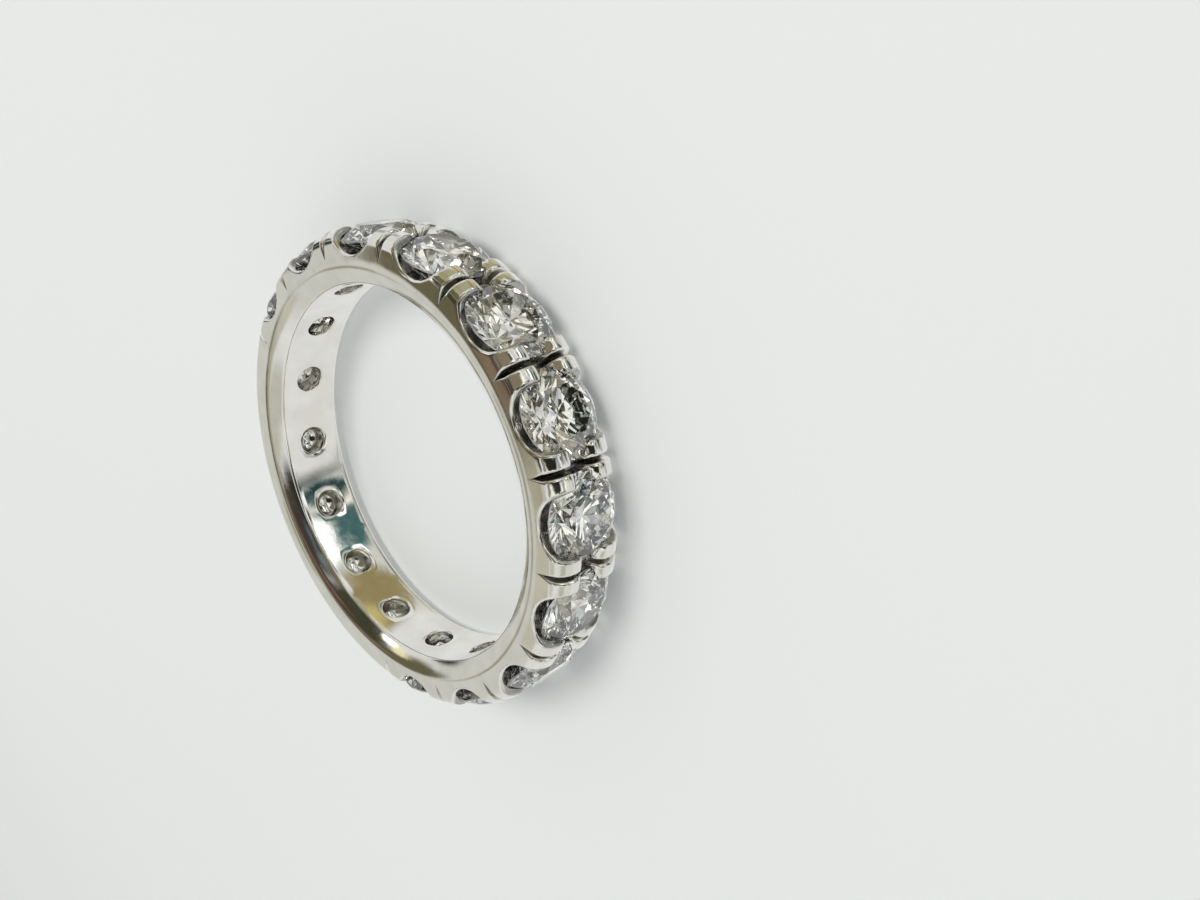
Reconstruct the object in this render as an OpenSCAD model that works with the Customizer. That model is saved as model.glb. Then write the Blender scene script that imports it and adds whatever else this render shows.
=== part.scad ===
// Eternity ring: one cast white gold band, set with a row of round brilliants in shared prongs.
// The row's middle is at -Y, and the back of the band, at +Y, is plain outside.
// Millimetres. The ring lies on its side: its axis is +Z, and z = 0 is the face it rests on.

/* [Finger] */
// Diameter of the finger hole
bore_d = 17; // [14.5:0.1:22]

/* [Stones] */
// Diameter of each brilliant at its girdle
stone_d = 3.6; // [3:0.05:4.2]
// Least space between the girdles of two neighbouring stones
stone_gap = 0.3; // [0.2:0.05:0.6]
// Width of the table, in percent of the stone's diameter
table_pct = 57; // [52:1:64]
// Slope of the crown's main facets, in degrees
crown_angle = 34; // [30:0.5:37]
// Slope of the pavilion's main facets, in degrees
pavilion_angle = 40.8; // [38:0.2:43]
// Height of the girdle
girdle_h = 0.1; // [0.06:0.01:0.18]
// Reach of the star facets from the table's edge to the girdle, in percent
star_pct = 52; // [45:1:60]
// How many of the places for a stone are left plain at the back
plain_places = 5; // [1:1:8]
// Reach of the lower half facets from the girdle to the culet, in percent
lower_half_pct = 76; // [70:1:85]

/* [Band] */
// Metal left between the finger hole and the tip of each stone
culet_cover = 0.18; // [0.12:0.01:0.4]
// Metal that each side wall stands out past the girdles
side_cover = 0.05; // [0.03:0.01:0.3]
// Width of the sloping strip along each edge of the finger hole, across the wall
strip_w = 0.75; // [0.4:0.05:1]
// Drop of that strip at the finger hole, along the axis
strip_drop = 0.4; // [0.2:0.02:0.6]

/* [Prongs] */
// Height of the prong tops above the plane of the girdles
prong_h = 0.64; // [0.5:0.02:0.9]
// Radius of each prong's rounded top, seen along the rim
prong_top_r = 0.78; // [0.68:0.01:0.82]
// Thickness of each prong along the rim, between the saw cut and the scallop
prong_t = 0.62; // [0.45:0.01:0.7]
// Depth of the groove between the two rows of prongs, below the girdles
groove_drop = 0.35; // [0.2:0.05:0.5]
// Width of the flat that is worked on each prong's long edges
edge_flat = 0.1; // [0.06:0.01:0.14]

/* [Cuts] */
// Depth of each scallop in the side walls, below the girdles
scallop_drop = 0.54; // [0.4:0.02:0.7]
// Width of the saw cut between two stones
saw_w = 0.3; // [0.2:0.02:0.4]
// Depth of the saw cut below the girdles
saw_drop = 0.4; // [0.25:0.05:0.6]
// Length of the saw cut's pointed end
saw_point = 0.36; // [0.2:0.02:0.45]
// Diameter of the open hole under each stone
azure_d = 1.3; // [0.9:0.05:1.5]
// Depth of the blind holes that carry the row of holes on round the plain back
blind_h = 0.8; // [0.4:0.05:1.2]
// Clearance between a stone and its seat
seat_gap = 0.04; // [0.03:0.01:0.06]

/* [Hidden] */
$fn = 72;
// How far a cutting shape runs past the metal
over = 1;
// Turn between two points of a rounded outline
arc_step = 15;

bore_r = bore_d / 2;
girdle_r = stone_d / 2;
table_r = girdle_r * table_pct / 100;
// A brilliant has eight main facets above and eight below
mains = 8;
main_step = 360 / mains;
half_step = main_step / 2;
crown_h = (girdle_r - table_r) * tan(crown_angle);
pavilion_h = girdle_r * tan(pavilion_angle);
table_z = girdle_h / 2 + crown_h;
culet_z = -girdle_h / 2 - pavilion_h;
// The star facets' outer points, on the planes of the main crown facets
table_mid_r = table_r * cos(half_step);
star_r = table_mid_r + (girdle_r - table_mid_r) * star_pct / 100;
star_z = table_z - (star_r * cos(half_step) - table_r) * tan(crown_angle);
// The lower half facets' inner points, on the planes of the main pavilion facets
lower_r = girdle_r * (1 - lower_half_pct / 100);
lower_z = -girdle_h / 2 - (girdle_r - lower_r * cos(half_step)) * tan(pavilion_angle);

// The plane of the girdles, measured from the ring's axis
girdle_plane = bore_r + culet_cover - culet_z;
// As many places as fit round the rim, all but the plain ones with a stone
places = floor(180 / asin((stone_d + stone_gap) / 2 / girdle_plane));
stones = places - plain_places;
pitch = 360 / places;
row_middle = -90;

half_w = girdle_r + side_cover;
strip_r = bore_r + strip_w;
bore_z = half_w - strip_drop;
prong_r = girdle_plane + prong_h;
// The side walls end and the rounded rim starts at this radius
rim_r = prong_r - prong_top_r;
groove_z = half_w - 2 * prong_top_r;
groove_r = girdle_plane - groove_drop;

// Half the space between two stones' axes, where the prongs are widest
prong_mid = prong_r * tan(pitch / 2);
scallop_r = prong_mid - saw_w / 2 - prong_t;
scallop_floor = girdle_plane - scallop_drop;
scallop_c = scallop_floor + scallop_r;
saw_floor = girdle_plane - saw_drop;

function node_name(i) = str("stone_", i < 10 ? "0" : "", i);

// A point at radius r and height z, turned by angle a about the axis
function polar(r, a, z) = [r * cos(a), r * sin(a), z];

// Upper half of the band's outline: the wall, and over it a rim squarer than an ellipse
rim_power = 2.4;
outline = concat(
    [[bore_r, bore_z], [strip_r, half_w]],
    [for (a = [0:arc_step:90 - arc_step]) [
        rim_r + (prong_r - rim_r) * pow(sin(a), 2 / rim_power),
        half_w * pow(cos(a), 2 / rim_power)
    ]]
);

// Upper half of the groove's outline: its wall, rounded over into the prong's top
groove_side = concat(
    [[groove_r, groove_z]],
    [for (a = [180:-arc_step:90]) [
        rim_r + prong_top_r * sin(a),
        groove_z + prong_top_r * (1 + cos(a))
    ]],
    [[prong_r + over, groove_z + prong_top_r]]
);

function mirrored(points) = [for (i = [len(points) - 1:-1:0]) [points[i].x, -points[i].y]];

module hoop() {
    rotate_extrude() polygon(concat(outline, mirrored(outline)));
}

// The groove that parts the two rows of prongs, from the first saw cut to the last
module groove() {
    rotate([0, 0, row_middle - stones * pitch / 2])
        rotate_extrude(angle = stones * pitch) polygon(concat(groove_side, mirrored(groove_side)));
}

// Turns a shape made on the +X side to place i of a row of n places, centred on angle middle
module at_place(i, n, middle) {
    rotate([0, 0, middle + (i - (n + 1) / 2) * pitch]) children();
}

// Points a shape made along +Z outwards, with its zero on the plane of the girdles
module outwards() {
    translate([girdle_plane, 0, 0]) rotate([0, 90, 0]) children();
}

// The room for one stone: its outline turned round its own axis, with clearance
module seat() {
    outwards() rotate_extrude() polygon([
        [0, culet_z - seat_gap],
        [lower_r + seat_gap, lower_z],
        [girdle_r + seat_gap, -girdle_h / 2],
        [girdle_r + seat_gap, girdle_h / 2],
        [star_r + seat_gap, star_z],
        [table_r + seat_gap, table_z],
        [0, table_z]
    ]);
}

// A hole drilled from the finger side to height h above it
module azure(h) {
    translate([bore_r - over, 0, 0]) rotate([0, 90, 0]) cylinder(d = azure_d, h = h + over);
}

// The round-bottomed scallop that shows the stone's side, cut right across the band
module scallop() {
    edge_y = sqrt(pow(scallop_r, 2) - pow(scallop_c - prong_r + edge_flat, 2));
    translate([0, 0, -half_w - over]) linear_extrude(height = 2 * (half_w + over)) {
        translate([scallop_c, 0]) circle(r = scallop_r);
        polygon([
            [prong_r - edge_flat, -edge_y], [prong_r + over, -edge_y - over - edge_flat],
            [prong_r + over, edge_y + over + edge_flat], [prong_r - edge_flat, edge_y]
        ]);
    }
}

// The saw cut between two stones, pointed at its floor and opened a little at its mouth
module saw_cut() {
    mouth = prong_r - edge_flat;
    translate([0, 0, -half_w - over]) linear_extrude(height = 2 * (half_w + over)) polygon([
        [saw_floor, 0], [saw_floor + saw_point, -saw_w / 2], [mouth, -saw_w / 2],
        [prong_r + over, -saw_w / 2 - over - edge_flat], [prong_r + over, saw_w / 2 + over + edge_flat],
        [mouth, saw_w / 2], [saw_floor + saw_point, saw_w / 2]
    ]);
}

module band() {
    color("#d8d6cf") translate([0, 0, half_w]) difference() {
        hoop();
        groove();
        for (i = [1:stones]) at_place(i, stones, row_middle) {
            scallop();
            seat();
            azure(girdle_plane - bore_r);
        }
        for (i = [1:stones + 1]) at_place(i, stones + 1, row_middle) saw_cut();
        for (i = [1:plain_places]) at_place(i, plain_places, row_middle + 180) azure(blind_h);
    }
}

// A round brilliant: table, stars, kites and upper halves over the girdle,
// lower halves and pavilion mains under it, meeting in a point
module brilliant() {
    table = [for (i = [0:mains - 1]) polar(table_r, i * main_step, table_z)];
    stars = [for (i = [0:mains - 1]) polar(star_r, (i + 0.5) * main_step, star_z)];
    girdle_top = [for (i = [0:2 * mains - 1]) polar(girdle_r, i * half_step, girdle_h / 2)];
    girdle_low = [for (i = [0:2 * mains - 1]) polar(girdle_r, i * half_step, -girdle_h / 2)];
    lowers = [for (i = [0:mains - 1]) polar(lower_r, (i + 0.5) * main_step, lower_z)];
    culet = [[0, 0, culet_z]];
    // The first point of each ring of points in the list
    s = mains;
    g = s + mains;
    b = g + 2 * mains;
    l = b + 2 * mains;
    c = l + mains;
    polyhedron(
        points = concat(table, stars, girdle_top, girdle_low, lowers, culet),
        faces = concat(
            [[for (i = [mains - 1:-1:0]) i]],
            [for (i = [0:mains - 1]) [i, (i + 1) % mains, s + i]],
            [for (i = [0:mains - 1]) [i, s + i, g + 2 * i, s + (i + mains - 1) % mains]],
            [for (i = [0:mains - 1]) [s + i, g + 2 * i + 1, g + 2 * i]],
            [for (i = [0:mains - 1]) [s + i, g + (2 * i + 2) % (2 * mains), g + 2 * i + 1]],
            [for (i = [0:2 * mains - 1]) let (n = (i + 1) % (2 * mains)) [g + i, g + n, b + n, b + i]],
            [for (i = [0:mains - 1]) [c, l + (i + mains - 1) % mains, b + 2 * i, l + i]],
            [for (i = [0:mains - 1]) [l + i, b + 2 * i, b + 2 * i + 1]],
            [for (i = [0:mains - 1]) [l + i, b + 2 * i + 1, b + (2 * i + 2) % (2 * mains)]]
        )
    );
}

module stone(i) {
    color("#eef3f6") translate([0, 0, half_w]) at_place(i, stones, row_middle) outwards() brilliant();
}

band();
for (i = [1:stones]) stone(i);
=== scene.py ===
"""Eternity ring of polished white gold with a long row of round brilliants, lying on its side."""
import math

import bmesh
import bpy
import numpy as np
from mathutils import Euler, Matrix, Vector


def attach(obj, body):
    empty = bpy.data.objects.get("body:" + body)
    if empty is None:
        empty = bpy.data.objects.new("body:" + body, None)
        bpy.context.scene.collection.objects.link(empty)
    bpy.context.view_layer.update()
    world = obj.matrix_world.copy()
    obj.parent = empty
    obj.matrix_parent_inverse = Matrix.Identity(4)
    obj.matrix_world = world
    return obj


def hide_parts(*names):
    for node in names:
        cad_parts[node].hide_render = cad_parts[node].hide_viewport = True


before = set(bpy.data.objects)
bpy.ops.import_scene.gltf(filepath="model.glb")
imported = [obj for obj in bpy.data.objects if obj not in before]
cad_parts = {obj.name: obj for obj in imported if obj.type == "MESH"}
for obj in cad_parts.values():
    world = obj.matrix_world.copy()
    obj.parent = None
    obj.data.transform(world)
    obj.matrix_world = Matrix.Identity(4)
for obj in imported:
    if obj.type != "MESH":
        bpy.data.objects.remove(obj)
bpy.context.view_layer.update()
scene = bpy.context.scene
MM = 0.001

# The camera: close over the ring, at the angle to it that the photograph has. It stands above the
# floor, so the picture is turned and the ring's lower side is to the right.
camera_data = bpy.data.cameras.new("camera")
camera_data.sensor_fit = "HORIZONTAL"
camera_data.sensor_width = 36
camera_data.lens = 29.41
camera_data.clip_start = 0.002
camera_data.clip_end = 20
camera = bpy.data.objects.new("camera", camera_data)
scene.collection.objects.link(camera)
# Its place, how far it looks down and is turned left of +Y, and how far the picture is turned
camera_place = Vector((-0.63183, -37.40019, 26.18382)) * MM
down, left, roll = (math.radians(angle) for angle in (43.363933, 2.515638, -111.942377))
aim = Euler((math.pi / 2 - down, 0, left)).to_matrix() @ Matrix.Rotation(roll, 3, "Z")
camera.matrix_world = Matrix.Translation(camera_place) @ aim.to_4x4()
scene.camera = camera


# The table top: a wide sheet of matt white acrylic with a faint unevenness in its tone, lit a
# little from below, and curved up far away from the ring so that it is its own backdrop.
def node_material(name):
    """An empty procedural material with its Principled shader and Object coordinates."""
    made = bpy.data.materials.new(name)
    made.use_nodes = True
    tree = made.node_tree
    place = tree.nodes.new("ShaderNodeTexCoord")
    return made, tree, tree.nodes["Principled BSDF"], place.outputs["Object"]


def noise_ramp(tree, place, scale, detail, low, high, bounds=(0.35, 0.65)):
    """Noise of a scale in waves per metre, turned into a number or colour from low to high."""
    noise = tree.nodes.new("ShaderNodeTexNoise")
    noise.inputs["Scale"].default_value = scale
    noise.inputs["Detail"].default_value = detail
    tree.links.new(place, noise.inputs["Vector"])
    ramp = tree.nodes.new("ShaderNodeValToRGB")
    for stop, at, value in zip(ramp.color_ramp.elements, bounds, (low, high)):
        stop.position = at
        stop.color = (*value, 1) if isinstance(value, tuple) else (value, value, value, 1)
    tree.links.new(noise.outputs["Fac"], ramp.inputs["Fac"])
    return ramp.outputs["Color"]


def dish(flat, bend, wall, rows, columns):
    """A dish turned about the Z axis: flat out to one radius, then a quarter circle up with the
    bend's radius, in rows of points, then a straight wall."""
    t = np.linspace(0, math.pi / 2, rows)
    reach = np.concatenate([[flat / 3, flat * 2 / 3], flat + bend * np.sin(t), [flat + bend]])
    rise = np.concatenate([[0, 0], bend * (1 - np.cos(t)), [bend + wall]])
    a = np.arange(columns) * math.tau / columns
    points = np.stack([np.outer(reach, np.cos(a)), np.outer(reach, np.sin(a)),
                       np.repeat(rise[:, None], columns, axis=1)], axis=-1)
    numbers = np.arange(len(reach) * columns).reshape(-1, columns)
    nexts = np.roll(numbers, -1, axis=1)
    faces = np.stack([numbers[:-1], numbers[1:], nexts[1:], nexts[:-1]], axis=-1).reshape(-1, 4)
    return points.reshape(-1, 3), [numbers[0].tolist(), *faces.tolist()]


sheet, tree, shader, place = node_material("white_sheet")
shader.inputs["Roughness"].default_value = 0.75
shader.inputs["Specular IOR Level"].default_value = 0.25
shader.inputs["Emission Color"].default_value = (0.86, 0.95, 1, 1)
shader.inputs["Emission Strength"].default_value = 0.14
tone = noise_ramp(tree, place, scale=9, detail=2, low=(0.78, 0.79, 0.795), high=(0.795, 0.81, 0.82))
tree.links.new(tone, shader.inputs["Base Color"])

points, faces = dish(flat=0.6, bend=0.5, wall=1, rows=13, columns=96)
sheet_mesh = bpy.data.meshes.new("table_top")
sheet_mesh.from_pydata(points.tolist(), [], faces)
sheet_mesh.polygons.foreach_set("use_smooth", np.full(len(sheet_mesh.polygons), True))
sheet_mesh.materials.append(sheet)
table_top = bpy.data.objects.new("table_top", sheet_mesh)
scene.collection.objects.link(table_top)
# The ring mirrors the room alone, and the room's light reaches it from below too
table_top.visible_glossy = False
table_top.visible_transmission = False
table_top.visible_diffuse = False
table_top.visible_shadow = False


# The light: one wide soft lamp for the shadow, and a room of pale walls with a darker corner, a
# few bright windows and a mottled side towards the camera, which the metal and stones mirror.
room = bpy.data.worlds.new("room")
scene.world = room
room.use_nodes = True
# The room is far away and soft, so it isn't aimed at as a lamp is
room.cycles.sampling_method = "NONE"
sky = room.node_tree
sky_place = sky.nodes.new("ShaderNodeTexCoord").outputs["Generated"]


def mixed(tree, kind, factor, under, over, blend="MIX"):
    """A Mix node's result: under where the factor is 0, and where it is 1 over, or with the blend
    MULTIPLY their product. Each of the three is a socket, or a number or colour."""
    node = tree.nodes.new("ShaderNodeMix")
    node.data_type = kind
    node.blend_type = blend
    first, second, result = {"FLOAT": (2, 3, 0), "RGBA": (6, 7, 2)}[kind]
    for socket, value in ((0, factor), (first, under), (second, over)):
        if isinstance(value, bpy.types.NodeSocket):
            tree.links.new(value, node.inputs[socket])
        else:
            node.inputs[socket].default_value = (*value, 1) if isinstance(value, tuple) else value
    return node.outputs[result]


def patch(under, azimuth, elevation, width, height, over, soft):
    """Lays a soft-edged oval of a colour, or of another light, over the light under it. Its middle
    is at an azimuth (0 is +Y, 90 is +X) and an elevation, and width and height are its half
    angles, all in degrees: the distance from the middle, shrunk by them, fades it out, over the
    share of the way in from its edge that soft gives."""
    a, e = math.radians(azimuth), math.radians(elevation)
    toward = Vector((math.sin(a) * math.cos(e), math.cos(a) * math.cos(e), math.sin(e)))
    local = sky.nodes.new("ShaderNodeMapping")
    local.vector_type = "TEXTURE"
    local.inputs["Location"].default_value = toward
    local.inputs["Rotation"].default_value = toward.to_track_quat("Z", "Y").to_euler()
    local.inputs["Scale"].default_value = (*np.sin(np.radians([width, height])), 1)
    sky.links.new(sky_place, local.inputs["Vector"])
    fall = sky.nodes.new("ShaderNodeTexGradient")
    fall.gradient_type = "SPHERICAL"
    sky.links.new(local.outputs["Vector"], fall.inputs["Vector"])
    edge = sky.nodes.new("ShaderNodeValToRGB")
    edge.color_ramp.interpolation = "EASE"
    edge.color_ramp.elements[1].position = soft
    sky.links.new(fall.outputs["Fac"], edge.inputs["Fac"])
    return mixed(sky, "RGBA", edge.outputs["Color"], under, over)


walls = noise_ramp(sky, sky_place, scale=2.2, detail=1, low=(0.78, 0.785, 0.775), high=(0.85, 0.86, 0.86))
mottled = noise_ramp(sky, sky_place, scale=3.2, detail=1.5, low=(0.025, 0.029, 0.024),
                     high=(1.25, 1.25, 1.22), bounds=(0.43, 0.57))
tinted = noise_ramp(sky, sky_place, scale=2.1, detail=0, low=(0.84, 0.885, 0.90), high=(0.99, 0.965, 0.83))
front = mixed(sky, "RGBA", 1, mottled, tinted, "MULTIPLY")
# Each row: azimuth, elevation, half width, half height, light, soft share
room_patches = (
    (178, 12, 86, 80, front, 0.3),
    # What the side wall mirrors: pale grey, with olive and brown to the upper right
    (0, 18, 58, 40, (0.65, 0.655, 0.61), 0.5),
    (-40, 63, 34, 14, (0.56, 0.56, 0.49), 0.6),
    (-0.5, 26, 4, 12, (0.37, 0.34, 0.255), 0.8),
    (0, 0, 22, 15, (0.66, 0.66, 0.61), 0.5),
    (-14, 44, 13, 10, (0.57, 0.555, 0.455), 0.5),
    (-2, 50, 11, 8, (0.43, 0.405, 0.30), 0.6),
    (16, 43, 17, 11, (0.145, 0.13, 0.075), 0.4),
    (9, 50, 7, 7, (0.26, 0.19, 0.13), 0.6),
    # What the sloping strip mirrors
    (110, 68, 30, 18, (0.20, 0.165, 0.11), 0.4),
    (44, 60, 30, 13, (0.06, 0.058, 0.038), 0.35),
    (10, 68, 9, 20, (0.075, 0.056, 0.046), 0.35),
    (14, 62, 11, 6, (0.22, 0.135, 0.09), 0.7),
    (60, 88, 18, 17, (0.03, 0.03, 0.022), 0.5),
    (26, 79, 14, 10, (0.06, 0.05, 0.042), 0.5),
    (56, 83, 5, 4, (0.10, 0.14, 0.18), 0.7),
    (66, 77, 8, 4, (0.16, 0.20, 0.20), 0.7),
    (36, 46, 8, 4, (0.95, 0.90, 0.55), 0.6),
    (46, 49, 6, 4, (1.9, 1.9, 1.7), 0.6),
    (36, 10, 12, 9, (0.03, 0.035, 0.03), 0.4),
    (33, 24, 12, 8, (0.04, 0.05, 0.045), 0.5),
    # What the prongs mirror: pale to the left, dark shapes in front, olive to the right
    (-105, 0, 36, 56, (0.74, 0.75, 0.71), 0.35),
    (-112, 20, 18, 14, (0.52, 0.53, 0.46), 0.5),
    (-162, 26, 17, 28, (0.022, 0.024, 0.02), 0.3),
    (-150, 61, 22, 11, (0.30, 0.28, 0.22), 0.5),
    (-158, -7, 14, 7, (0.42, 0.44, 0.44), 0.5),
    (-153, -47, 28, 20, (0.50, 0.50, 0.46), 0.4),
    (150, 43, 26, 30, (0.24, 0.205, 0.14), 0.3),
    (152, -2, 18, 8, (0.72, 0.71, 0.67), 0.4),
    (148, -48, 30, 22, (0.58, 0.60, 0.53), 0.4),
    (113, -8, 12, 40, (0.42, 0.40, 0.27), 0.4),
    (98, 42, 28, 16, (0.15, 0.138, 0.065), 0.5),
    (66, -15, 14, 9, (0.42, 0.46, 0.46), 0.6),
    (105, 19, 18, 16, (0.37, 0.35, 0.20), 0.5),
    (98, -46, 26, 15, (0.54, 0.52, 0.38), 0.4),
    # What the finger hole mirrors, low in front
    (-118, -28, 52, 14, (0.82, 0.82, 0.80), 0.3),
    (110, -28, 30, 7, (0.33, 0.27, 0.13), 0.4),
    (98, -24, 16, 4, (0.62, 0.54, 0.22), 0.6),
    (158, -23, 22, 6, (1.7, 1.75, 1.7), 0.5),
    (159, -30, 17, 5, (0.06, 0.15, 0.15), 0.5),
    (-173, -28, 10, 6, (0.02, 0.06, 0.055), 0.5),
    # What the flat top of each stone mirrors
    (176, -48, 26, 12, (0.07, 0.085, 0.055), 0.4),
    (125, -43, 20, 9, (0.25, 0.24, 0.19), 0.4),
    (-120, -46, 40, 10, (0.80, 0.82, 0.84), 0.4),
)
for row in room_patches:
    walls = patch(walls, *row)
sky.links.new(walls, sky.nodes["Background"].inputs["Color"])

window_data = bpy.data.lights.new("window", "AREA")
window_data.shape = "DISK"
window_data.size = 0.28
window_data.energy = 1.15
window_data.color = (1, 0.995, 0.985)
window = bpy.data.objects.new("window", window_data)
window.visible_glossy = False
scene.collection.objects.link(window)
toward_window, window_distance = Vector((0.42, -0.05, 0.9)).normalized(), 0.5
window.matrix_world = (Matrix.Translation(toward_window * window_distance)
                       @ toward_window.to_track_quat("Z", "Y").to_matrix().to_4x4())


# The band: one casting, eleven places for a stone and a plain back. Prongs stand between each
# pair of stones, filed round, parted by a groove along the row and by a saw cut across it.
# All of it is one closed surface of polished white gold.
def saved_mesh(name, points, faces, smooth):
    """A mesh object at the origin from points in millimetres and a list or array of faces."""
    mesh = bpy.data.meshes.new(name)
    mesh.from_pydata((np.asarray(points) * MM).tolist(), [], [list(map(int, f)) for f in faces])
    mesh.polygons.foreach_set("use_smooth", np.full(len(mesh.polygons), smooth))
    mesh.update()
    piece = bpy.data.objects.new(name, mesh)
    scene.collection.objects.link(piece)
    return piece


# The sizes are the solid's, in millimetres, but the saw cuts are narrower. Radii of the finger
# hole, the sloping strip round it, the rim and the prongs' tops, then half widths of the band
bore_r, strip_r, rim_r, prong_r = 8.5, 9.25, 10.144, 10.924
half_w, bore_z = 1.85, 1.45
# The plane of the stones' girdles, the groove's floor and wall, and the prongs' rounded tops
girdle_plane, groove_r, groove_z, prong_top_r = 10.284, 9.934, 0.29, 0.78
# The scallops, then the saw cuts, pointed at the floor and wider at the mouth
scallop_r, scallop_c = 1.403, 11.147
saw_w, saw_floor, saw_point, saw_flare = 0.2, 9.884, 0.36, 0.03
# The holes at the finger side, and the places for a stone
azure_r, blind_h = 0.65, 0.8
places, stones = 16, 11
pitch = math.tau / places
half_pitch = pitch / 2
# The room for one stone, as distance from the stone's axis and from the ring's, from where the
# hole at the finger side meets it up to the stone's table
seat_line = np.array([[azure_r, 9.182], [1.84, 10.234], [1.84, 10.334],
                      [1.431, 10.681], [1.066, 10.856]])
# The rounding of every edge, and the rim's outline, which is squarer than an ellipse
edge_round = 0.115
rim_power = 2.4
# The share of the height over a saw cut's pointed floor that counts as distance from it
saw_flank = 0.385
# The least sum, slope and length that are divided by, and the distance of points far from a cut
least_sum, least_slope, least_length, far_inside = 1e-6, 1e-9, 1e-9, -9


def out_of_metal(phi, z, r, set_here, saw_low, saw_high):
    """How far points lie outside the metal of one place, at angle phi from its middle, height z
    and radius r. Each surface's distance a gives u = max(a + k, 0) with k the rounding of the
    edges, and the metal ends where the root of the sum of u squared is k, which rounds every edge
    to radius k. A place is set with a stone or not, and has a saw cut or not at either end."""
    k = edge_round
    rise = np.maximum(r - rim_r, 0) / prong_top_r
    side = np.abs(z) / half_w
    whole = np.maximum(side ** rim_power + rise ** rim_power, least_sum) ** (1 / rim_power)
    slope = whole ** (1 - rim_power) * np.hypot(side ** (rim_power - 1) / half_w,
                                                rise ** (rim_power - 1) / prong_top_r)
    total = np.maximum((whole - 1) / np.maximum(slope, least_slope) + k, 0) ** 2
    if set_here:
        x, y = r * np.cos(phi), r * np.sin(phi)
        scallop = scallop_r - np.hypot(np.minimum(x - scallop_c, 0), y)
        total = total + np.maximum(scallop + k, 0) ** 2
        top_z = groove_z + prong_top_r
        wall = np.hypot(np.maximum(top_z - np.abs(z), 0), np.maximum(r - rim_r, 0)) - prong_top_r
        wall = np.where(r > rim_r, wall, groove_z - np.abs(z))
        wall = np.where(np.abs(z) < top_z, wall, far_inside)
        total = total + np.maximum(np.minimum(wall, r - groove_r) + k, 0) ** 2
    for edge, there in ((-half_pitch, saw_low), (half_pitch, saw_high)):
        if there:
            off = np.abs(phi - edge) * girdle_plane
            slot = saw_w / 2 + saw_flare * (r - rim_r) - off
            floor = (r - saw_floor - saw_point * off / (saw_w / 2)) * saw_flank
            total = total + np.maximum(np.minimum(slot, floor) + k, 0) ** 2
    return np.sqrt(total) - k


solve_from, solve_to, halvings = 9.0, 11.2, 26


def outer_radius(phi, z, *kind):
    """The metal's outer radius over each point of the plan of a place of one kind (set here, saw
    cut at its low end, at its high end), found by halving an interval of radii."""
    low, high = np.full(phi.shape, solve_from), np.full(phi.shape, solve_to)
    for _ in range(halvings):
        middle = (low + high) / 2
        out = out_of_metal(phi, z, middle, *kind) > 0
        high, low = np.where(out, middle, high), np.where(out, low, middle)
    return low


def spread(lengths, count, path):
    """Each column of path, an array (steps, columns, 3), taken again at count even lengths."""
    steps = np.linspace(0, 1, count)[:, None] * lengths[-1]
    new = np.empty((count, path.shape[1], path.shape[2]))
    for column in range(path.shape[1]):
        for axis in range(path.shape[2]):
            new[:, column, axis] = np.interp(steps[:, column], lengths[:, column],
                                             path[:, column, axis])
    return new


seat_steps = 500


def seat_ends(across, along):
    """Where each column leaves the stone's room: the first point of the room's outline, walked
    from the hole at the finger side, that is outside the rounded metal. Gives the lengths of the
    outline's corners and of these ends."""
    legs = np.hypot(*np.diff(seat_line, axis=0).T)
    stations = np.concatenate([[0], np.cumsum(legs)])
    walk = np.linspace(0, stations[-1], seat_steps)[:, None]
    away, up = (np.interp(walk, stations, seat_line[:, axis]) for axis in (0, 1))
    y, z = away * across, away * along
    out = out_of_metal(np.arctan2(y, up), z, np.hypot(up, y), True, True, True) > 0
    out[-1] = True
    return stations, walk[out.argmax(axis=0), 0]


# Angles and heights of the points along a place's edges, closest where the metal bends most
edge_degrees = np.array([0, 2.2, 4.2, 5.6, 6.5, 7, 7.3, 7.6, 8, 8.7, 9.4, 9.8, 10.05, 10.25, 10.4,
                         10.55, 10.75, 11, 11.25])
edge_rise = np.array([0, 0.12, 0.21, 0.27, 0.31, 0.36, 0.45, 0.6, 0.8, 1, 1.2, 1.38, 1.53, 1.65,
                      1.74, 1.8, 1.835, half_w])
edge_phi = np.radians(np.concatenate([-edge_degrees[:0:-1], edge_degrees]))
edge_z = np.concatenate([-edge_rise[:0:-1], edge_rise])
# The plan of one place, gone round once: both saw cuts and both side walls
round_phi = np.concatenate([np.full(len(edge_z) - 1, half_pitch), edge_phi[:0:-1],
                            np.full(len(edge_z) - 1, -half_pitch), edge_phi[:-1]])
round_z = np.concatenate([edge_z[:-1], np.full(len(edge_phi) - 1, half_w),
                          edge_z[:0:-1], np.full(len(edge_phi) - 1, -half_w)])
columns = len(round_phi)
# Rows of points: those solved over the outside, and those kept there, on the wall and in the bore
walk_steps, outer_rows, wall_rows, bore_rows = 260, 35, 5, 5
# The rim is solved a hair inside the side walls, because on a wall every radius is on the surface
inset = 0.9998
# A turn of one radian counts as this share of the rounding's radius when rows are spaced
turn_weight = 0.8


def rim_radius(phi, z, saw_low, saw_high):
    """The outer radius on the edge of a place, the same for the places on both sides of it."""
    return outer_radius(phi, z * inset, False, saw_low, saw_high)


def turned(r, phi, z, angle):
    """Points from cylinder coordinates, turned by angle about the ring's axis."""
    return np.stack([r * np.cos(phi + angle), r * np.sin(phi + angle), z + half_w], axis=-1)


def quads(numbers, closed):
    """Four-sided faces between the rows and columns of an array of point numbers."""
    if closed:
        numbers = np.concatenate([numbers, numbers[:, :1]], axis=1)
    return np.stack([numbers[:-1, :-1], numbers[1:, :-1], numbers[1:, 1:], numbers[:-1, 1:]],
                    axis=-1).reshape(-1, 4)


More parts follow.
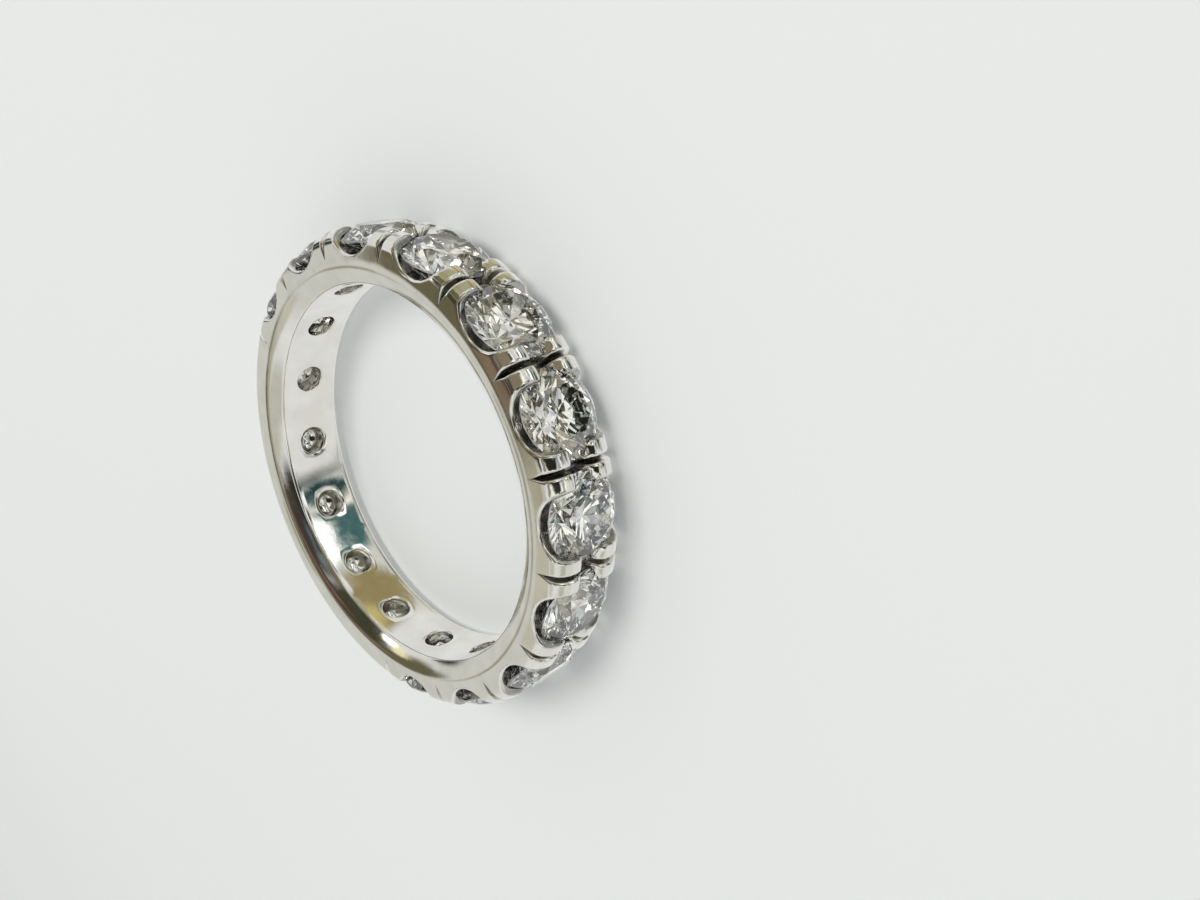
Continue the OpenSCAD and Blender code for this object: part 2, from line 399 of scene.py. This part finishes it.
def set_outside():
    """The outside of one place with a stone, in rows that leave the hole at the finger side, go
    up the room for the stone and then over scallop, prong or groove to the edge of the place.
    The rows over the outside lie at even lengths, where turns count as length too."""
    across = girdle_plane * np.sin(round_phi)
    away = np.hypot(across, round_z)
    across, along = across / away, round_z / away
    stations, ends = seat_ends(across, along)
    # One row where the room starts, one on its cone, one at each corner and one past the last
    seat_rows = np.array([0, 0.8, *stations[1:4], stations[3] + 0.2])
    d, x = (np.interp(np.minimum(seat_rows[:, None], ends), stations, seat_line[:, axis])
            for axis in (0, 1))
    seat = np.stack([np.hypot(x, d * across), np.arctan2(d * across, x), d * along], axis=-1)
    d, x = (np.interp(ends, stations, seat_line[:, axis]) for axis in (0, 1))
    t = np.linspace(0, 1, walk_steps)[:, None]
    phi = (1 - t) * np.arctan2(d * across, x) + t * round_phi
    z = (1 - t) * d * along + t * round_z * inset
    r = outer_radius(phi, z, True, True, True)
    # Below the girdle the metal also stays clear of the stone's lower cone
    reach = np.hypot(r * np.sin(phi), z)
    cone = np.interp(reach, *seat_line[:2].T) / np.cos(phi)
    r = np.where((ends < stations[1]) & (reach < seat_line[1, 0]), np.minimum(r, cone), r)
    r[0] = np.hypot(x, d * across)
    at_saw = np.abs(round_phi) == half_pitch
    r[-1] = np.where(at_saw, rim_radius(round_phi, round_z, True, True), r[-1])
    steps = np.diff(np.stack([r * np.cos(phi), r * np.sin(phi), z], axis=-1), axis=0)
    lengths = np.linalg.norm(steps, axis=-1)
    ways = steps / np.maximum(lengths, least_length)[..., None]
    turns = np.arccos(np.clip((ways[1:] * ways[:-1]).sum(axis=-1), -1, 1))
    lengths[1:] += edge_round * turn_weight * turns
    lengths = np.concatenate([np.zeros((1, columns)), np.cumsum(lengths, axis=0)])
    outer = spread(lengths, outer_rows, np.stack([r, phi, z], axis=-1))
    outer[-1, :, 2] = round_z
    return np.concatenate([seat, outer])


def plain_outside(saw_low, saw_high):
    """The outside of one place without a stone, one row for each height along the axis."""
    phi, z = np.meshgrid(edge_phi, edge_z)
    return np.stack([rim_radius(phi, z, saw_low, saw_high), phi, z], axis=-1)


def eased(corners, cuts, steps):
    """A line through corners whose inner corners are each replaced by a parabola that starts and
    ends at a cut's length from the corner, taken at steps even points."""
    line = [corners[:1]]
    for before, corner, after, cut in zip(corners, corners[1:], corners[2:], cuts):
        start = corner + (before - corner) * cut / np.linalg.norm(before - corner)
        end = corner + (after - corner) * cut / np.linalg.norm(after - corner)
        t = np.linspace(0, 1, steps)[:, None]
        line.append((1 - t) ** 2 * start + 2 * t * (1 - t) * corner + t ** 2 * end)
    return np.concatenate(line)


# The wall between the rim and the finger hole: flat, then the sloping strip, with the edge
# between them rubbed well round, and the edge of the finger hole eased
flat_w, bore_edge = 0.42, 0.1
wall_corners = np.array([[strip_r + flat_w, half_w], [strip_r, half_w], [bore_r, bore_z],
                         [bore_r, bore_z - bore_edge]])
wall_line = eased(wall_corners, (0.4, bore_edge), 5)
bore_half = bore_z - bore_edge
# A blind hole's wall and the cone that the drill leaves, then the eased rim of every hole, as
# distance from its axis and depth, and the painted shade, with dullness, of the last rows of a hole
blind_end = np.array([[azure_r, blind_h * 0.5], [azure_r, blind_h * 0.88], [azure_r * 0.9, blind_h],
                      [azure_r * 0.4, blind_h * 1.12], [0.002, blind_h * 1.2]])
hole_rim = np.array([[azure_r, 0.05], [azure_r + 0.012, 0.02], [azure_r + 0.05, 0]])
open_shade_and_dullness, blind_shade_and_dullness = [0.1, 0.3], [0.2, 0.4, 0.25, 0, 0]

all_points, all_faces, all_shade_and_dullness = [], [], []


def add_grid(points, closed, shade_and_dullness=0.0):
    """Adds one grid of points, (rows, columns, 3), to the band, with the painted shade of each
    point, from 0 on the open metal to 1 where it is painted darkest and the metal is dullest."""
    start = sum(map(len, all_points))
    numbers = np.arange(points.shape[0] * points.shape[1]).reshape(points.shape[:2]) + start
    all_points.append(points.reshape(-1, 3))
    all_faces.append(quads(numbers, closed))
    all_shade_and_dullness.append(np.broadcast_to(shade_and_dullness, points.shape[:2]).reshape(-1))


def fade(value, end, over):
    """1, then evenly down over a length of values to 0, which is reached at the value end."""
    return np.clip((end - value) / over, 0, 1)


def shade_and_dullness_in_cuts(r, phi, z):
    """How much painted shade, with dullness, points get from how deep they lie in a saw cut, the
    groove, a scallop or the stone's room, from 0 to 1: the greatest of four shares, each a product of two
    fades."""
    off = (half_pitch - np.abs(phi)) * girdle_plane
    in_saw = fade(off, saw_w * 5 / 6, saw_w * 2 / 3) * fade(r, prong_r - 0.2, 0.5)
    in_groove = fade(r, rim_r + 0.05, 0.2) * fade(np.abs(z), groove_z * 1.6, groove_z)
    from_stone = np.hypot(r * np.sin(phi), z)
    in_seat = fade(r, girdle_plane - 0.12, 0.3) * fade(from_stone, 1.5, 0.25)
    wall = scallop_r - np.hypot(np.minimum(r * np.cos(phi) - scallop_c, 0), r * np.sin(phi))
    in_scallop = fade(np.abs(wall), 0.091, 0.07) * fade(np.abs(z), half_w - 0.09, 0.12)
    return np.max([0.55 * in_saw, 0.35 * in_groove, 0.4 * in_seat, 0.5 * in_scallop], axis=0)


set_rows = set_outside()
# Painted shade, and dullness, for each point of a place with a stone, more of it deeper in the cuts
set_shade_and_dullness = shade_and_dullness_in_cuts(*np.moveaxis(set_rows, -1, 0))
row_middle = -math.pi / 2
for place_number in range(places):
    angle = row_middle + (place_number - (stones - 1) / 2) * pitch
    with_stone = place_number < stones
    if with_stone:
        add_grid(turned(*np.moveaxis(set_rows, -1, 0), angle), True, set_shade_and_dullness)
    else:
        plain_rows = plain_outside(place_number == stones, place_number == places - 1)
        add_grid(turned(*np.moveaxis(plain_rows, -1, 0), angle), False)
    # The side walls, from the rim down to the finger hole
    for side in (1, -1):
        if with_stone:
            top = set_rows[-1][np.isclose(round_z, side * half_w)]
            top_r = top[np.argsort(top[:, 1]), 0]
        else:
            top_r = plain_rows[-1 if side > 0 else 0, :, 0]
        t = np.linspace(0, 1, wall_rows)[:, None]
        r = np.concatenate([(1 - t) * top_r + t * wall_line[0, 0],
                            np.repeat(wall_line[1:, :1], len(edge_phi), axis=1)])
        z = np.concatenate([np.full((wall_rows, len(edge_phi)), half_w),
                            np.repeat(wall_line[1:, 1:], len(edge_phi), axis=1)])
        add_grid(turned(r, np.broadcast_to(edge_phi, r.shape), side * z, angle), False)
    # The finger side: from the edges of the place in to the hole, and up the hole
    end_z = round_z * bore_half / half_w
    across = bore_r * np.sin(round_phi)
    away = np.hypot(across, end_z)
    rows = []
    for share in np.linspace(1, 0, bore_rows)[:-1]:
        reach = hole_rim[-1, 0] * (1 - share)
        rows.append([np.full(columns, bore_r),
                     share * round_phi + np.arcsin(reach * across / away / bore_r),
                     share * end_z + reach * end_z / away])
    for d, lift in hole_rim[::-1]:
        y = d * across / away
        rows.append([np.full(columns, bore_r) + lift, np.arcsin(y / bore_r), d * end_z / away])
    if with_stone:
        rows.append(list(np.moveaxis(set_rows[0], -1, 0)))
    else:
        for d, lift in blind_end:
            y, x = d * across / away, bore_r + lift
            rows.append([np.hypot(x, y), np.arctan2(y, x), d * end_z / away])
    # The painted shade, with dullness, of the last rows of each hole, mostly on a blind hole's wall
    ends = open_shade_and_dullness if with_stone else blind_shade_and_dullness
    shade_and_dullness = np.array([0] * (len(rows) - len(ends)) + ends)[:, None]
    add_grid(turned(*np.moveaxis(np.array(rows), 1, 0), angle), True, shade_and_dullness)

points = np.concatenate(all_points)
faces = np.concatenate(all_faces)
# Polishing has bellied the side walls: they fall back towards the rim by up to 0.07 mm, as far as
# the sum of their slopes at radii 0.01 mm apart
wall_reach = np.linspace(9.2, 10.45, 126)
wall_slope = np.interp(wall_reach, [9.2, 9.4, 10.1, 10.45], [0, 0.06, 0.085, 0])
wall_fall = np.cumsum(wall_slope) * 0.01
height, reach = points[:, 2] - half_w, np.hypot(points[:, 0], points[:, 1])
near_wall = np.clip((np.abs(height) - 1.2) / 0.55, 0, 1)
points[:, 2] -= (np.sign(height) * near_wall ** 2 * (3 - 2 * near_wall)
                 * np.interp(reach, wall_reach, wall_fall))
# The finger side is rounded too, so its edges lie 0.02 mm further out than its middle
bore_belly = 0.0093
points[:, :2] *= (1 + bore_belly * height ** 2 * fade(reach, strip_r, 0.7) / reach)[:, None]
# Points that grids share are made one, and the sides of a face that this closes up are dropped
_, first, same = np.unique(np.round(points, 4), axis=0, return_index=True, return_inverse=True)
points, faces = points[first], same.reshape(-1)[faces]
polygons = [[v for i, v in enumerate(face) if v != face[i - 1]] for face in faces.tolist()]
polygons = [face for face in polygons if len(face) > 2]


def bump(tree, place, scale, detail, strength, distance):
    """A Bump node of noise of a scale in waves per metre and of a depth in metres."""
    noise = tree.nodes.new("ShaderNodeTexNoise")
    noise.inputs["Scale"].default_value = scale
    noise.inputs["Detail"].default_value = detail
    tree.links.new(place, noise.inputs["Vector"])
    node = tree.nodes.new("ShaderNodeBump")
    node.inputs["Strength"].default_value = strength
    node.inputs["Distance"].default_value = distance
    tree.links.new(noise.outputs["Fac"], node.inputs["Height"])
    return node


# White gold: bright and smooth on the open metal, with painted shade that darkens it deep in the cuts,
# where it is duller too, and the soft waves that polishing leaves and fine scratches over them
gold, tree, shader, place = node_material("white_gold")
shader.inputs["Metallic"].default_value = 1
# The painted shade and dullness that each point of the band carries
depth = tree.nodes.new("ShaderNodeAttribute")
depth.attribute_name = "shade_and_dullness"
bright = noise_ramp(tree, place, scale=900, detail=3, low=(0.79, 0.775, 0.735), high=(0.86, 0.85, 0.82))
smooth = noise_ramp(tree, place, scale=2200, detail=4, low=0.045, high=0.11)
# Painted shade: the colour is mixed towards near black by that share, and the roughness rises with it
tree.links.new(mixed(tree, "RGBA", depth.outputs["Fac"], bright, (0.035, 0.03, 0.026)),
               shader.inputs["Base Color"])
tree.links.new(mixed(tree, "FLOAT", depth.outputs["Fac"], smooth, 0.35), shader.inputs["Roughness"])
waves = bump(tree, place, scale=420, detail=1, strength=0.5, distance=0.06 * MM)
scratches = bump(tree, place, scale=6000, detail=5, strength=0.12, distance=0.008 * MM)
tree.links.new(waves.outputs["Normal"], scratches.inputs["Normal"])
tree.links.new(scratches.outputs["Normal"], shader.inputs["Normal"])

band = saved_mesh("band_metal", points, polygons, True)
band.data.materials.append(gold)
# Each point's painted shade and dullness, kept on the mesh for the material
deep = band.data.attributes.new("shade_and_dullness", "FLOAT", "POINT")
deep.data.foreach_set("value", np.concatenate(all_shade_and_dullness)[first])
shell = bmesh.new()
shell.from_mesh(band.data)
bmesh.ops.holes_fill(shell, edges=[e for e in shell.edges if e.is_boundary], sides=0)
bmesh.ops.recalc_face_normals(shell, faces=shell.faces)
shell.to_mesh(band.data)
shell.free()
band.data.set_sharp_from_angle(angle=math.radians(60))
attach(band, "root")
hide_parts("band")


# The stones: eleven round brilliants of the same size, each set at its own turn about its axis.
# Clear, with a matt ground girdle, and every facet flat.
stone_r, table_r, girdle_half = 1.8, 1.026, 0.05
crown_slope, pavilion_slope = math.tan(math.radians(34)), math.tan(math.radians(40.8))
# How far the stars reach from table to girdle, and the lower halves from girdle to tip
star_share, lower_share = 0.52, 0.76
# A brilliant has eight main facets round it, and each half facet's arc has this many edges
eighth = math.tau / 8
arc_parts = 4


def brilliant():
    """A brilliant's corners and facets, and the number of its first girdle face. Its planes are set
    by the table's radius and the slopes of the crown and pavilion mains, and the girdle's edges are
    where the half facets' planes meet a true cylinder, so the girdle is scalloped as a cut stone's
    is. Each facet's corners are listed so that it faces outwards."""
    table_rise = girdle_half + (stone_r - table_r) * crown_slope
    middle = table_r * math.cos(eighth / 2)
    star_r = middle + (stone_r - middle) * star_share
    star_rise = table_rise - (star_r * math.cos(eighth / 2) - table_r) * crown_slope
    lower_r = stone_r * (1 - lower_share)
    lower_rise = -girdle_half - (stone_r - lower_r * math.cos(eighth / 2)) * pavilion_slope
    culet_rise = -girdle_half - stone_r * pavilion_slope
    corners, facets = [], []

    def ring(r, angles, rise):
        """Adds points at radius r and a rise, and gives their numbers."""
        start = len(corners)
        corners.extend(np.stack([r * np.cos(angles), r * np.sin(angles),
                                 np.broadcast_to(rise, np.shape(angles))], axis=-1).tolist())
        return list(range(start, len(corners)))

    def arc(line, start):
        """The points of one half facet's edge along the girdle, from the place start on."""
        return [line[(start + k) % len(line)] for k in range(arc_parts + 1)]

    full, half = np.arange(8) * eighth, (np.arange(8) + 0.5) * eighth
    table = ring(table_r, full, table_rise)
    stars = ring(star_r, half, star_rise)
    lowers = ring(lower_r, half, lower_rise)
    culet = ring(0, np.zeros(1), culet_rise)[0]
    turns = np.arange(16 * arc_parts) * eighth / 2 / arc_parts
    part = (np.arange(16 * arc_parts) % arc_parts) / arc_parts
    # A plane through both ends of an arc falls, inside the arc, with the arc's height over its chord
    chord = stone_r * math.cos(eighth / 4)
    bulge = stone_r * np.cos(eighth / 2 * (part - 0.5)) - chord
    upper_fall = (star_rise - girdle_half) / (chord - star_r * math.cos(eighth / 4))
    lower_fall = (-girdle_half - lower_rise) / (chord - lower_r * math.cos(eighth / 4))
    top = ring(stone_r, turns, girdle_half - bulge * upper_fall)
    low = ring(stone_r, turns, -girdle_half + bulge * lower_fall)
    facets.append(table)
    for i in range(8):
        after, before = (i + 1) % 8, (i - 1) % 8
        g, h = 2 * arc_parts * i, arc_parts * (2 * i + 1)
        facets.append([table[after], table[i], stars[i]])
        facets.append([table[i], stars[before], top[g], stars[i]])
        facets.append([stars[i], *arc(top, g)])
        facets.append([stars[i], *arc(top, h)])
        facets.append([culet, lowers[i], low[g], lowers[before]])
        facets.append([lowers[i], *arc(low, g)[::-1]])
        facets.append([lowers[i], *arc(low, h)[::-1]])
    girdle_from = len(facets)
    for k in range(len(top)):
        after = (k + 1) % len(top)
        facets.append([low[k], low[after], top[after], top[k]])
    return np.array(corners), facets, girdle_from


clear, tree, shader, place = node_material("diamond")
shader.inputs["Base Color"].default_value = (1, 1, 1, 1)
shader.inputs["Transmission Weight"].default_value = 1
shader.inputs["IOR"].default_value = 2.42
tree.links.new(noise_ramp(tree, place, scale=3000, detail=2, low=0.008, high=0.035),
               shader.inputs["Roughness"])
ground, tree, shader, place = node_material("ground_girdle")
shader.inputs["Transmission Weight"].default_value = 0.8
shader.inputs["IOR"].default_value = 2.42
milky = noise_ramp(tree, place, scale=9000, detail=3, low=(0.82, 0.83, 0.84), high=(0.95, 0.95, 0.95))
rough = noise_ramp(tree, place, scale=5000, detail=2, low=0.35, high=0.55)
tree.links.new(milky, shader.inputs["Base Color"])
tree.links.new(rough, shader.inputs["Roughness"])

corners, facets, girdle_from = brilliant()
material_numbers = [int(i >= girdle_from) for i in range(len(facets))]
usual_tilt = math.radians(0.5)
chance = np.random.default_rng(7)
for number in range(stones):
    spin, tilt_y, tilt_z = chance.uniform(0, eighth), *chance.normal(0, usual_tilt, 2)
    x, y, z = corners.T
    x, y = x * math.cos(spin) - y * math.sin(spin), x * math.sin(spin) + y * math.cos(spin)
    # The stone's own axis points out from the ring: up is radial, across runs along the rim
    up, across, along = z + tilt_y * x + tilt_z * y, x - tilt_y * z, y - tilt_z * z
    angle = row_middle + (number - (stones - 1) / 2) * pitch
    reach = girdle_plane + up
    placed = np.stack([reach * math.cos(angle) - across * math.sin(angle),
                       reach * math.sin(angle) + across * math.cos(angle), along + half_w], axis=-1)
    stone = saved_mesh(f"brilliant_{number + 1:02d}", placed, facets, False)
    stone.data.materials.append(clear)
    stone.data.materials.append(ground)
    stone.data.polygons.foreach_set("material_index", material_numbers)
    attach(stone, "root")
    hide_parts(f"stone_{number + 1:02d}")

# Light is followed far enough to run in and out of a stone, and colours are shown as they are
scene.cycles.max_bounces = 16
scene.cycles.transmission_bounces = 14
scene.cycles.glossy_bounces = 6
scene.cycles.caustics_refractive = False
scene.cycles.blur_glossy = 1
scene.view_settings.view_transform = "Standard"

bpy.context.view_layer.update()
